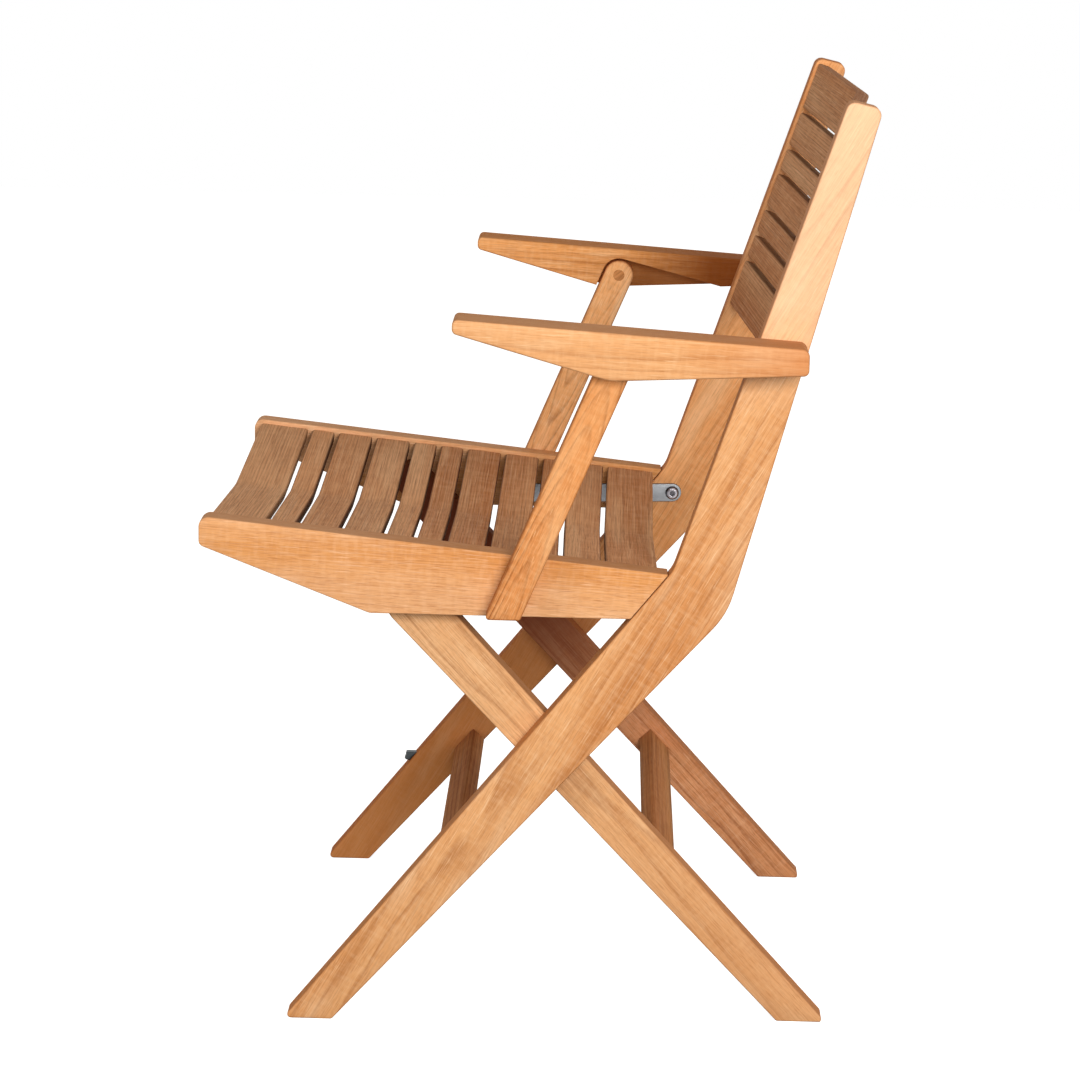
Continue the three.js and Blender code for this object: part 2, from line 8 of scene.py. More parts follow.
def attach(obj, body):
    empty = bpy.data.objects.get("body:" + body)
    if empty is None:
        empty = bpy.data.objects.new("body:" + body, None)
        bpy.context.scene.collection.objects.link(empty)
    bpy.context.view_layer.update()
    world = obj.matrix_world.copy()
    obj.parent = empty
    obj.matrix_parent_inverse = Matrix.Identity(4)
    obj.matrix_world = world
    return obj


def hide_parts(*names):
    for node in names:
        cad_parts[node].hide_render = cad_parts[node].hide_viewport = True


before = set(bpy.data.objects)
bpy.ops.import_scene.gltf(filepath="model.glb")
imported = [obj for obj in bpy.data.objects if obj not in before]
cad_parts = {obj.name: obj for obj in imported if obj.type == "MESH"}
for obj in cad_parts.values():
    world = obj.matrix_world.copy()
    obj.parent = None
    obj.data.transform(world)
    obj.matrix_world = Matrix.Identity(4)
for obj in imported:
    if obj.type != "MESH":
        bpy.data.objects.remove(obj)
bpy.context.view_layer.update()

# The camera stands 3 m from the chair on the sitter's left, a little higher than the back, and
# looks down at it. A long lens keeps the two side frames nearly the same size.
yaw, dip, roll = np.radians([-1.084, 13.129, 1.178])
camera_place = [3.096, 0.0604, 1.1339]
sensor_width, focal_length = 36.0, 107.31
level_view = np.array([-math.cos(yaw), math.sin(yaw), 0.0])
level_right = np.array([math.sin(yaw), math.cos(yaw), 0.0])
straight_up = np.array([0.0, 0.0, 1.0])
view_line = level_view * math.cos(dip) - straight_up * math.sin(dip)
view_up = straight_up * math.cos(dip) + level_view * math.sin(dip)
right_side = level_right * math.cos(roll) + view_up * math.sin(roll)
top_side = view_up * math.cos(roll) - level_right * math.sin(roll)
lens = bpy.data.cameras.new("camera")
lens.sensor_width = sensor_width
lens.lens = focal_length
camera = bpy.data.objects.new("camera", lens)
pose = np.eye(4)
pose[:3, :3] = np.column_stack([right_side, top_side, -view_line])
pose[:3, 3] = camera_place
camera.matrix_world = Matrix(pose.tolist())
bpy.context.scene.collection.objects.link(camera)
bpy.context.scene.camera = camera


# The floor is a plain white studio floor that runs back to a white wall of light.
# It shows the camera white, with the chair's soft shadow, and lights the chair only a little.
def linear(colour):
    """An sRGB hex colour as linear red, green, blue and alpha."""
    srgb = np.array([int(colour[i : i + 2], 16) for i in (1, 3, 5)]) / 255
    rgb = np.where(srgb <= 0.04045, srgb / 12.92, ((srgb + 0.055) / 1.055) ** 2.4)
    return (*rgb.tolist(), 1.0)


def add_node(tree, kind, sockets=None, **settings):
    """Adds a node with its settings. Each socket gets a value, or a link from a node or an output."""
    node = tree.nodes.new(kind)
    for name, value in settings.items():
        setattr(node, name, value)
    for socket, value in (sockets or {}).items():
        if isinstance(value, bpy.types.Node):
            value = value.outputs[0]
        if isinstance(value, bpy.types.NodeSocket):
            tree.links.new(value, node.inputs[socket])
        else:
            node.inputs[socket].default_value = value
    return node


def mesh_from_grid(name, grid, caps=True, round_way=True):
    """A mesh in metres from a grid of points in millimetres, rows by columns. Each row is a closed
    loop joined to the next, and with caps the first and last rows are each filled by one flat face."""
    rows, columns = grid.shape[:2]
    row = np.arange(rows - 1)[:, None]
    column = np.arange(columns)[None, :]
    beside = (column + 1) % columns
    if not round_way:
        column, beside = column[:, :-1], beside[:, :-1]
    corners = [
        row * columns + column,
        row * columns + beside,
        (row + 1) * columns + beside,
        (row + 1) * columns + column,
    ]
    faces = np.stack(corners, axis=-1).reshape(-1, 4).tolist()
    if caps:
        faces.append(list(range(columns))[::-1])
        faces.append(list(range((rows - 1) * columns, rows * columns)))
    mesh = bpy.data.meshes.new(name)
    mesh.from_pydata((grid.reshape(-1, 3) / 1000).tolist(), [], faces)
    mesh.polygons.foreach_set("use_smooth", np.ones(len(mesh.polygons), dtype=bool))
    return mesh


floor_half = 6000.0
floor_x, floor_y = np.meshgrid([-floor_half, floor_half], [-floor_half, floor_half])
floor_grid = np.stack([floor_x, floor_y, np.zeros_like(floor_x)], axis=-1)
floor_mesh = mesh_from_grid("studio_floor", floor_grid, caps=False, round_way=False)
floor = bpy.data.objects.new("studio_floor", floor_mesh)
bpy.context.scene.collection.objects.link(floor)

floor_paint = bpy.data.materials.new("matt white studio paint")
floor_paint.use_nodes = True
paint = floor_paint.node_tree
paint.nodes.clear()
seen = add_node(paint, "ShaderNodeLightPath")
looked_at, mirrored, through_glass = (
    seen.outputs[kind] for kind in ("Is Camera Ray", "Is Glossy Ray", "Is Transmission Ray")
)
seen_or_mirrored = add_node(paint, "ShaderNodeMath", {0: looked_at, 1: mirrored}, operation="MAXIMUM")
shown_white = add_node(
    paint, "ShaderNodeMath", {0: seen_or_mirrored, 1: through_glass}, operation="MAXIMUM"
)
glow = add_node(paint, "ShaderNodeEmission", {"Color": linear("#FFFFFF"), "Strength": 0.85})
chalk = add_node(paint, "ShaderNodeBsdfDiffuse", {"Color": linear("#F4F4F4")})
dull = add_node(paint, "ShaderNodeBsdfDiffuse", {"Color": linear("#454340")})
lit_white = add_node(paint, "ShaderNodeAddShader", {0: glow, 1: chalk})
floor_shader = add_node(paint, "ShaderNodeMixShader", {0: shown_white, 1: dull, 2: lit_white})
add_node(paint, "ShaderNodeOutputMaterial", {"Surface": floor_shader})
floor_mesh.materials.append(floor_paint)

world = bpy.data.worlds.new("studio")
bpy.context.scene.world = world
world.use_nodes = True
air = world.node_tree
air.nodes.clear()
ray = add_node(air, "ShaderNodeLightPath")
from_camera, from_mirror, from_glass = (
    ray.outputs[kind] for kind in ("Is Camera Ray", "Is Glossy Ray", "Is Transmission Ray")
)
ray_or_mirror = add_node(air, "ShaderNodeMath", {0: from_camera, 1: from_mirror}, operation="MAXIMUM")
white_wall = add_node(air, "ShaderNodeMath", {0: ray_or_mirror, 1: from_glass}, operation="MAXIMUM")
around = add_node(air, "ShaderNodeBackground", {"Color": linear("#FFF5EC"), "Strength": 0.36})
behind = add_node(air, "ShaderNodeBackground", {"Color": linear("#FFFFFF"), "Strength": 1.0})
air_mix = add_node(air, "ShaderNodeMixShader", {0: white_wall, 1: around, 2: behind})
add_node(air, "ShaderNodeOutputWorld", {"Surface": air_mix})
bpy.context.scene.view_settings.view_transform = "Standard"


def soft_box(name, place, aim, width, height, watts, colour):
    """An oblong lamp at a place, turned so that it faces the aim."""
    lamp = bpy.data.lights.new(name, "AREA")
    lamp.shape = "RECTANGLE"
    lamp.size, lamp.size_y = width, height
    lamp.energy = watts
    lamp.color = linear(colour)[:3]
    box = bpy.data.objects.new(name, lamp)
    away = np.array(place, dtype=float) - np.array(aim, dtype=float)
    away /= np.linalg.norm(away)
    side = np.cross(straight_up, away)
    side /= np.linalg.norm(side)
    turn = np.eye(4)
    turn[:3, :3] = np.column_stack([side, np.cross(away, side), away])
    turn[:3, 3] = place
    box.matrix_world = Matrix(turn.tolist())
    bpy.context.scene.collection.objects.link(box)


# The key lamp is a large soft box to the right of the camera. Two weaker ones, before the chair and
# behind it, lift its front and rear ends. All three are a slightly warm white.
soft_box(
    "key_box", place=(2.5, 0.6, 1.25), aim=(0.1, 0.05, 0.5),
    width=1.2, height=0.9, watts=58, colour="#FFF9F3",
)
soft_box(
    "front_box", place=(1.5, -1.9, 1.0), aim=(0.0, 0.1, 0.5),
    width=0.9, height=0.9, watts=14, colour="#FFF9F3",
)
soft_box(
    "rear_box", place=(0.6, 2.2, 1.5), aim=(0.0, 0.1, 0.6),
    width=0.8, height=0.8, watts=8, colour="#FFF9F2",
)


# Front legs and stiles. Each pair is one wide teak board, sawn to a bend behind the seat,
# planed flat on both faces, with its edges rounded over and oiled.
def arc_corner(before, corner, after, radius, steps=7):
    """Points of an arc that touches both sides of a corner. Its centre is on the corner's bisector,
    and its heading turns evenly from one side's touching point to the other's."""
    to_before = (before - corner) / np.linalg.norm(before - corner)
    to_after = (after - corner) / np.linalg.norm(after - corner)
    half_angle = math.acos(float(np.clip(to_before @ to_after, -1, 1))) / 2
    reach = radius / math.tan(half_angle)
    bisector = (to_before + to_after) / np.linalg.norm(to_before + to_after)
    centre = corner + bisector * radius / math.sin(half_angle)
    spoke = corner + to_before * reach - centre
    start = math.atan2(spoke[1], spoke[0])
    spoke = corner + to_after * reach - centre
    turn = (math.atan2(spoke[1], spoke[0]) - start + math.pi) % (2 * math.pi) - math.pi
    angle = start + turn * np.linspace(0, 1, steps)
    return centre + radius * np.column_stack([np.cos(angle), np.sin(angle)])


def outline_of(corners, spacing=9.0):
    """A closed side-view outline through corners (y, z, radius) in millimetres, with arcs at the
    corners and evenly spaced points on the straight stretches between them."""
    at = np.array([corner[:2] for corner in corners], dtype=float)
    stretches = []
    for i, (_, _, radius) in enumerate(corners):
        around_corner = (at[i - 1], at[i], at[(i + 1) % len(at)])
        stretches.append(arc_corner(*around_corner, radius) if radius else at[i : i + 1])
    points = []
    for i, stretch in enumerate(stretches):
        last, following = stretch[-1], stretches[(i + 1) % len(stretches)][0]
        count = max(1, round(np.linalg.norm(following - last) / spacing))
        share = np.arange(1, count)[:, None] / count
        points += [stretch, last + (following - last) * share]
    outline = np.concatenate(points)
    ahead = np.roll(outline, -1, axis=0)
    area = np.sum(outline[:, 0] * ahead[:, 1] - ahead[:, 0] * outline[:, 1])
    return outline if area > 0 else outline[::-1]


def inset_of(outline, depth):
    """The outline moved inwards by depth: each point goes along the mean of its two sides' normals,
    far enough that both sides move by the same distance."""
    side = np.roll(outline, -1, axis=0) - outline
    side /= np.linalg.norm(side, axis=1, keepdims=True)
    normal = np.column_stack([-side[:, 1], side[:, 0]])
    earlier = np.roll(normal, 1, axis=0)
    mitre = (normal + earlier) / (1 + np.sum(normal * earlier, axis=1, keepdims=True))
    return outline + mitre * depth


def board_grid(outline, low_x, high_x, ease=2.0, steps=4):
    """A board's surface. One parameter runs round the outline, the other across the board: a quarter
    circle of radius ease at each face, and the straight edge between them, with one more row just
    inside each end of it to keep it flat."""
    angle = np.linspace(0, math.pi / 2, steps + 1)
    depth = np.append(ease * (1 - np.sin(angle)), 0.0)
    rise = np.append(ease * (1 - np.cos(angle)), 1.7 * ease)
    across = np.concatenate([low_x + rise, high_x - rise[::-1]])
    inset = np.concatenate([depth, depth[::-1]])
    rings = [
        np.column_stack([np.full(len(outline), x), inset_of(outline, depth_in)])
        for x, depth_in in zip(across, inset)
    ]
    return np.stack(rings)


plank_draw = np.random.default_rng(11)


def wood_piece(
    mesh, body, nodes, material, along, across,
    rim_tint_and_shade=None, unbent=None, tone=0.0, heart=((-0.05, 0.05), (0.05, 0.13)),
):
    """Finishes a wooden piece. Its points also get their place in the log that it was sawn from:
    distance along the grain, across the board and through it. That place is drawn for each board,
    within a range of distances across and through to the log's heart, so that no two boards match.
    Where the grain follows a bend, the points of the unbent board are given. The tone is how much
    browner the board is or, below nought, how much paler; on some slats it is partly painted shade.
    The rim tint says how far the rim colour covers each point, which is partly painted shade."""
    count = len(mesh.vertices)
    places = np.empty(count * 3)
    mesh.vertices.foreach_get("co", places)
    places = places.reshape(-1, 3) if unbent is None else unbent.reshape(-1, 3) / 1000
    along = np.array(along, dtype=float) / np.linalg.norm(along)
    across = np.array(across, dtype=float) / np.linalg.norm(across)
    through = np.cross(along, across)
    nearest, farthest = np.array([(0.0, 9.0), *heart]).T
    drawn = plank_draw.uniform(nearest, farthest)
    in_log = (places - places.mean(axis=0)) @ np.column_stack([along, across, through]) + drawn
    log_place = mesh.attributes.new("log_place", "FLOAT_VECTOR", "POINT")
    log_place.data.foreach_set("vector", in_log.ravel())
    rim = np.zeros(count) if rim_tint_and_shade is None else np.asarray(rim_tint_and_shade, dtype=float).ravel()
    tinted_and_shaded_rim = mesh.attributes.new("rim", "FLOAT", "POINT")
    tinted_and_shaded_rim.data.foreach_set("value", rim)
    browner = mesh.attributes.new("tone", "FLOAT", "POINT")
    browner.data.foreach_set("value", np.full(count, float(tone)))
    mesh.materials.append(material)
    piece = bpy.data.objects.new(mesh.name, mesh)
    bpy.context.scene.collection.objects.link(piece)
    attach(piece, body)
    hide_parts(*nodes)


def rim_of(grid, steps=4):
    """How far each point is round the board's edge: none on the faces, rising over the rounded
    corners, and full on the narrow edges, which take the rim colour: partly darker sawn wood, partly
    painted shade on the edges and tops."""
    rim_tint_and_shade = np.ones(grid.shape[:2])
    ramp = np.linspace(0, 1, steps + 1)[:, None]
    rim_tint_and_shade[: steps + 1] = ramp
    rim_tint_and_shade[-steps - 1 :] = ramp[::-1]
    return rim_tint_and_shade


def teak(
    name, light, golden, brown, line, rim,
    boldness=1.0, ring=0.005, ring_share=0.5, reach=1.0, figure=1.0, fade=None,
):
    """Teak: heartwood in bands between two browns, growth rings round the log's centre, fine fibres,
    open pores as short dark dashes, and pale flecks where sanding raised the grain. The boldness is
    how strongly fibres and pores show, the ring is the rings' spacing in metres and its share is how
    dark they are, the reach is how much longer than usual the marks are, and the figure is how
    strongly the silky ripple and the pale patches show. The rim is the colour of the narrow edges and
    sawn sides: partly darker sawn wood, partly painted shade. The fade makes the piece paler or darker
    towards one end; on some pieces it is painted light or painted shade."""
    wood = bpy.data.materials.new(name)
    wood.use_nodes = True
    tree = wood.node_tree
    tree.nodes.clear()
    place = add_node(
        tree, "ShaderNodeAttribute", attribute_name="log_place", attribute_type="GEOMETRY"
    ).outputs["Vector"]
    # Each mark is noise drawn out along the grain: features per metre along and across it, octaves,
    # and the values at which the mark starts and is full. Teak's pores are 0.3 mm wide, and the
    # fibres closer still: both are drawn 0.8 to 1.4 mm wide, so that they show.
    marks = {}
    for mark, along, across, octaves, start, full in [
        ("waver", 4.0, 26.0, 2, 0.0, 1.0),
        ("bold", 5.0, 28.0, 2, 0.22, 0.56),
        ("bands", 1.6, 14.0, 3, 0.36, 0.64),
        ("sapwood", 1.2, 9.0, 1, 0.50, 0.72),
        ("fibres", 24.0, 760.0, 2, 0.48, 0.70),
        ("silk", 20.0, 640.0, 2, 0.50, 0.30),
        ("speckle", 110.0, 1250.0, 1, 0.50, 0.72),
        ("pores", 60.0, 1150.0, 1, 0.63, 0.71),
        ("flecks", 34.0, 850.0, 1, 0.66, 0.73),
        ("patches", 10.0, 42.0, 1, 0.56, 0.72),
        ("ripple", 240.0, 60.0, 2, 0.42, 0.68),
    ]:
        stretch = (along / reach, across, across)
        drawn_out = add_node(
            tree, "ShaderNodeVectorMath", {0: place, 1: stretch}, operation="MULTIPLY"
        )
        noise = add_node(
            tree, "ShaderNodeTexNoise", {"Vector": drawn_out, "Scale": 1.0, "Detail": octaves}
        )
        marks[mark] = add_node(
            tree, "ShaderNodeMapRange", {"Value": noise, "From Min": start, "From Max": full}
        )

    # Growth rings are circles round the log's heart, and waver by up to three rings along a board.
    cross_cut = add_node(tree, "ShaderNodeVectorMath", {0: place, 1: (0, 1, 1)}, operation="MULTIPLY")
    radius = add_node(tree, "ShaderNodeVectorMath", {0: cross_cut}, operation="LENGTH").outputs["Value"]
    grown = add_node(
        tree, "ShaderNodeMath", {0: marks["waver"], 1: 3 * ring, 2: radius}, operation="MULTIPLY_ADD"
    )
    years = add_node(tree, "ShaderNodeMath", {0: grown, 1: 1 / ring}, operation="MULTIPLY")
    season = add_node(tree, "ShaderNodeMath", {0: years}, operation="FRACT")
    late_wood = add_node(tree, "ShaderNodeValToRGB", {"Fac": season})
    ramp = late_wood.color_ramp
    ramp.elements[0].position, ramp.elements[0].color = 0.0, (0.12, 0.12, 0.12, 1)
    ramp.elements[1].position, ramp.elements[1].color = 1.0, (0.1, 0.1, 0.1, 1)
    ramp.elements.new(0.60).color = (0.25, 0.25, 0.25, 1)
    ramp.elements.new(0.86).color = (1, 1, 1, 1)
    marks["rings"] = add_node(
        tree, "ShaderNodeMath", {0: late_wood, 1: marks["bold"]}, operation="MULTIPLY"
    )
    for mark, attribute in (("tinted_and_shaded_rim", "rim"), ("tone", "tone")):
        marks[mark] = add_node(
            tree, "ShaderNodeAttribute", attribute_name=attribute, attribute_type="GEOMETRY"
        ).outputs["Fac"]

    marks["paler"] = add_node(
        tree, "ShaderNodeMapRange", {"Value": marks["tone"], "From Min": 0.0, "From Max": -1.0}
    )

    # The tone makes a whole board browner or paler; on some slats it is partly painted shade.
    layers = [
        ("tone", 1.0, brown),
        ("bands", 0.75, brown),
        ("paler", 1.0, light),
        ("sapwood", 0.6, light),
        ("rings", ring_share, line),
        ("ripple", 0.16 * figure, light),
        ("patches", 0.40 * figure, light),
        ("fibres", 0.28 * boldness, line),
        ("silk", 0.22, light),
        ("speckle", 0.26 * boldness, line),
        ("pores", 0.32 * boldness, line),
        ("flecks", 0.45, light),
    ]
    if fade:
        # The fade's axis, the places in metres where it starts and is full, its share and its colour.
        axis, start, full, share, tint = fade
        spot = add_node(tree, "ShaderNodeTexCoord")
        position = add_node(tree, "ShaderNodeSeparateXYZ", {0: spot.outputs["Object"]})
        marks["faded"] = add_node(
            tree,
            "ShaderNodeMapRange",
            {"Value": position.outputs[axis], "From Min": start, "From Max": full},
        )
        layers.append(("faded", share, tint))
    # The narrow edges and sawn sides take the rim colour: partly darker sawn wood, partly painted shade,
    # and on the slats' sides wholly painted shade in the gaps.
    layers.append(("tinted_and_shaded_rim", 0.6, rim))
    colour = linear(golden)
    for mark, share, tint in layers:
        cover = add_node(tree, "ShaderNodeMath", {0: marks[mark], 1: share}, operation="MULTIPLY")
        colour = add_node(
            tree, "ShaderNodeMix", {0: cover, 6: colour, 7: linear(tint)}, data_type="RGBA"
        ).outputs[2]

    grain_relief = add_node(
        tree, "ShaderNodeMath", {0: marks["pores"], 1: -0.8, 2: marks["silk"]}, operation="MULTIPLY_ADD"
    )
    bump = add_node(
        tree, "ShaderNodeBump", {"Height": grain_relief, "Strength": 0.25, "Distance": 0.0002}
    )
    gloss = add_node(
        tree, "ShaderNodeMapRange", {"Value": marks["silk"], "To Min": 0.72, "To Max": 0.60}
    )
    surface = add_node(
        tree,
        "ShaderNodeBsdfPrincipled",
        {"Base Color": colour, "Roughness": gloss, "Specular IOR Level": 0.05, "Normal": bump},
    )
    add_node(tree, "ShaderNodeOutputMaterial", {"Surface": surface})
    return wood


# Planed teak under a thin coat of oil: golden, with browner bands. The left board is painted paler
# above the arms: a painted highlight of the lamp's glare. The right board is a little lighter, and
# its leg is painted darker and redder towards the floor: painted shade below the seat.
board_teak = teak(
    "teak, planed and oiled, golden",
    light="#F7D1A6", golden="#E6AD76", brown="#D08A50", line="#985522", rim="#B46A30",
    boldness=0.85, ring=0.005, ring_share=0.5, fade=("Z", 0.59, 0.69, 0.38, "#FFDDBC"),
)
board_teak_shaded_below_seat = teak(
    "teak, planed and oiled, golden brown",
    light="#FCD0A0", golden="#F6B478", brown="#E49A5C", line="#A05A26", rim="#A8581C",
    boldness=0.8, ring=0.005, ring_share=0.4, fade=("Z", 0.37, 0.25, 0.65, "#BC743C"),
)

# The board's corners in side view: the foot's front and rear, the bend's outside, the top's rear and
# front, and the bend's inside, each with its radius.
leg_ends = [
    (-226.8, 0, 3.5), (-181.0, 0, 3.5), (178.8, 403, 80),
    (301.3, 865.4, 8), (270.8, 872.4, 8), (128.4, 443, 34),
]
# The board is sawn with its grain along the line from its foot to its top.
leg_slope = math.radians(60)
leg_grain = (0, math.cos(leg_slope), math.sin(leg_slope))
leg_outline = outline_of(leg_ends)
board_inside, board_outside = 222.0, 246.0
for side, sign, side_teak in (("left", 1, board_teak), ("right", -1, board_teak_shaded_below_seat)):
    faces = sorted((sign * board_inside, sign * board_outside))
    leg_grid = board_grid(leg_outline, *faces, ease=1.6)
    wood_piece(
        mesh_from_grid(f"bent_board_{side}", leg_grid), "frame", [f"stile_leg_{side}"],
        side_teak, along=leg_grain, across=(0, -leg_grain[2], leg_grain[1]), rim_tint_and_shade=rim_of(leg_grid),
    )


# Slats of the back. Each is sawn from thicker teak to a shallow V across the chair, then planed,
# and its ends are let in between the stiles. The slats are browner than the boards.
def slat_grid(width, thickness, dish, half_length, ease=1.6, end_round=3.5):
    """A slat's surface, as chair width, place along the row, and height off the face. An oblong
    section with rounded edges is carried across the chair. Its height follows a V with a softened
    crease, and near the ends it narrows along a quarter circle, so that the corners are round.
    Returned with the same slat before it is dished, and how far each point is on a sawn side."""
    # The rows stand closer together at the ends, where the corners are round.
    from_end = np.concatenate([[0.0, 0.3, 0.8, 1.6, 2.5, 3.5], np.linspace(8, half_length, 19)])
    x = np.concatenate([from_end - half_length, (half_length - from_end[:-1])[::-1]])
    gap = half_length - np.abs(x)

    def pulled_in(radius):
        """How far a corner's quarter circle lies inside the full section."""
        inside = np.clip(radius - gap, 0, radius)
        return radius - np.sqrt(radius**2 - inside**2)

    # The ends' upper and lower edges are rounded less than the edges along the slat.
    half_width = (width / 2 - pulled_in(end_round))[:, None]
    half_depth = (thickness / 2 - 0.7 * pulled_in(ease))[:, None]
    angle = np.linspace(0, math.pi / 2, 4)[None, :] + np.arange(4)[:, None] * math.pi / 2
    sign_w = np.array([1, -1, -1, 1])[:, None]
    sign_n = np.array([1, 1, -1, -1])[:, None]
    turn_w = np.broadcast_to(np.cos(angle), (4, 4)).ravel()[None, :]
    turn_n = np.broadcast_to(np.sin(angle), (4, 4)).ravel()[None, :]
    side_w = np.broadcast_to(sign_w, (4, 4)).ravel()[None, :]
    side_n = np.broadcast_to(sign_n, (4, 4)).ravel()[None, :]
    row_place = side_w * (half_width - ease) + ease * turn_w
    height = side_n * (half_depth - ease) + ease * turn_n
    crease = 7.0
    rise = (np.sqrt(x**2 + crease**2) - crease) / (math.hypot(half_length, crease) - crease)
    straight = np.stack([np.broadcast_to(x[:, None], height.shape), row_place, height], axis=-1)
    dished = straight.copy()
    dished[..., 2] -= thickness / 2 + (dish * (1 - rise))[:, None]
    sawn_side = np.broadcast_to(np.abs(side_w * turn_w), height.shape)
    return dished, straight, sawn_side


slat_half_length, slat_gap = 221.7, 5.0


def lay_row(names, body, material, start, heading, normal, thickness, dish, widths, tones_and_shade, side_shade):
    """Lays slats side by side from a start (y, z), along a heading, with their faces to the normal.
    Each slat has its width, its tone, which is partly painted shade on some slats, and how strongly
    its sawn sides are painted dark, as painted shade in the gaps."""
    heading = np.array([0, *heading], dtype=float)
    normal = np.array([0, *normal], dtype=float)
    reached = 0.0
    for name, width, tone, rim_tint_and_shade in zip(names, widths, tones_and_shade, side_shade):
        middle = reached + width / 2
        local, straight, sawn_side = slat_grid(width, thickness, dish, slat_half_length)
        flat = local.reshape(-1, 3)
        placed = flat[:, :1] * np.array([[1.0, 0, 0]])
        placed = placed + (flat[:, 1:2] + middle) * heading + flat[:, 2:] * normal
        placed = placed + np.array([0, *start])
        grid = placed.reshape(local.shape)
        if np.dot(np.cross([1, 0, 0], heading), normal) < 0:
            grid, straight, sawn_side = grid[::-1], straight[::-1], sawn_side[::-1]
        wood_piece(
            mesh_from_grid(f"{name}_dished", grid), body, [name], material,
            along=(1, 0, 0), across=(0, 1, 0), rim_tint_and_shade=rim_tint_and_shade * sawn_side, unbent=straight, tone=tone,
            heart=((0.05, 0.12), (-0.02, 0.02)),
        )
        reached += width + slat_gap


# The slats are quarter-sawn from browner heartwood, with fine dark lines. Their sawn sides are
# painted nearly black: painted shade in the gaps between the slats.
slat_teak = teak(
    "teak, planed and oiled, brown",
    light="#F2C496", golden="#DCA374", brown="#BC7C4E", line="#6C381A", rim="#40200F",
    boldness=1.15, ring=0.003, ring_share=0.45, reach=3.0,
)
stile_rake = math.radians(18.44)
# The lowest slat's darker tone is partly painted shade below the arms, and the slats' sawn sides are
# painted dark as painted shade in the gaps.
lay_row(
    [f"back_slat_{i}" for i in range(1, 8)], "frame", slat_teak, start=(189.4, 617.9),
    heading=(math.sin(stile_rake), math.cos(stile_rake)),
    normal=(-math.cos(stile_rake), math.sin(stile_rake)), thickness=12.5, dish=24,
    widths=[48, 23, 23, 34.6, 21.8, 34.6, 48], tones_and_shade=[0.8, 0.1, 0.2, 0.3, 0.15, 0.1, 0.0],
    side_shade=[0.6] * 7,
)


# Stretchers: square-edged teak bars, wider than they are thick, one between the front legs and one
# between the rear legs, fixed to the boards' inner faces.
def stretcher(name, corner_points, half_length, node, body):
    """A bar with the section of the four corners (y, z), carried straight across the chair to half
    the length on each side of the middle."""
    section = outline_of([(y, z, 0) for y, z in corner_points], spacing=6)
    grid = board_grid(section, -half_length, half_length)
    along_section = np.array(corner_points[3]) - np.array(corner_points[0])
    wood_piece(
        mesh_from_grid(name, grid), body, [node], bar_teak,
        along=(1, 0, 0), across=(0, *along_section),
    )


# The stretchers are reddish heartwood, plain and dark.
bar_teak = teak(
    "teak, planed and oiled, reddish",
    light="#D09660", golden="#BC7848", brown="#9C5A30", line="#5C2E12", rim="#8A4E24",
    boldness=1.0, ring=0.004, ring_share=0.6, reach=3.0,
)
front_bar_half_length, rear_bar_half_length = 221.7, 196.1
stretcher(
    "bar_between_front_legs", [(-57.8, 140.0), (-69.8, 150.6), (-89.0, 128.9), (-77.1, 118.3)],
    front_bar_half_length, "front_stretcher", "frame",
)
stretcher(
    "bar_between_rear_legs", [(108.3, 152.1), (120.0, 163.1), (139.8, 141.9), (128.1, 130.9)],
    rear_bar_half_length, "rear_stretcher", "rear_legs",
)


# Rear legs: straight tapered teak boards inside the front legs. Each crosses its front leg on a
# pin, and its round top end turns inside the seat rail.
leg_top, leg_top_radius = np.array([-137.1, 426.8]), 18.0
# The round top reaches 100 degrees to each side of the leg's heading.
rear_leg_heading, top_reach = 133, 100
top_angle = np.radians(rear_leg_heading + np.linspace(-top_reach, top_reach, 17))
top_arc = leg_top + leg_top_radius * np.column_stack([np.cos(top_angle), np.sin(top_angle)])
rear_leg_ends = [(-129.8, 386, 0), (239.4, 0, 3), (281.9, 0, 2), (281.9, 4.8, 2.5), (-66.6, 386, 0)]
rear_leg_outline = outline_of(rear_leg_ends + [(y, z, 0) for y, z in top_arc])
rear_leg_inside, rear_leg_outside = 196.4, 220.4
rear_leg_grain = (0, -0.675, 0.738)
# Straight-grained tan teak, the left leg darker towards the floor. The right leg is browner, and
# its upper part is painted dark reddish brown: painted shade under the seat.
rear_leg_teak = teak(
    "teak, planed and oiled, tan",
    light="#F8D4A8", golden="#EFB882", brown="#E0A56C", line="#8E5022", rim="#AA6838",
    boldness=0.9, ring=0.0045, ring_share=0.5, fade=("Z", 0.30, 0.05, 0.35, "#C87C40"),
)
rear_leg_teak_shaded_below_seat = teak(
    "teak, planed and oiled, tan and brown",
    light="#F4C49C", golden="#E6A474", brown="#D08C5C", line="#7A3C1C", rim="#AA6838",
    boldness=1.1, ring=0.0045, ring_share=0.6, fade=("Z", 0.13, 0.30, 0.95, "#80422C"),
)
for side, sign, tone, side_teak in (
    ("left", 1, -0.2, rear_leg_teak), ("right", -1, 0.0, rear_leg_teak_shaded_below_seat),
):
    faces = sorted((sign * rear_leg_inside, sign * rear_leg_outside))
    leg_grid = board_grid(rear_leg_outline, *faces, ease=1.6)
    wood_piece(
        mesh_from_grid(f"crossing_board_{side}", leg_grid), "rear_legs", [f"rear_leg_{side}"],
        side_teak, along=rear_leg_grain,
        across=(0, rear_leg_grain[2], -rear_leg_grain[1]), rim_tint_and_shade=rim_of(leg_grid), tone=tone,
    )


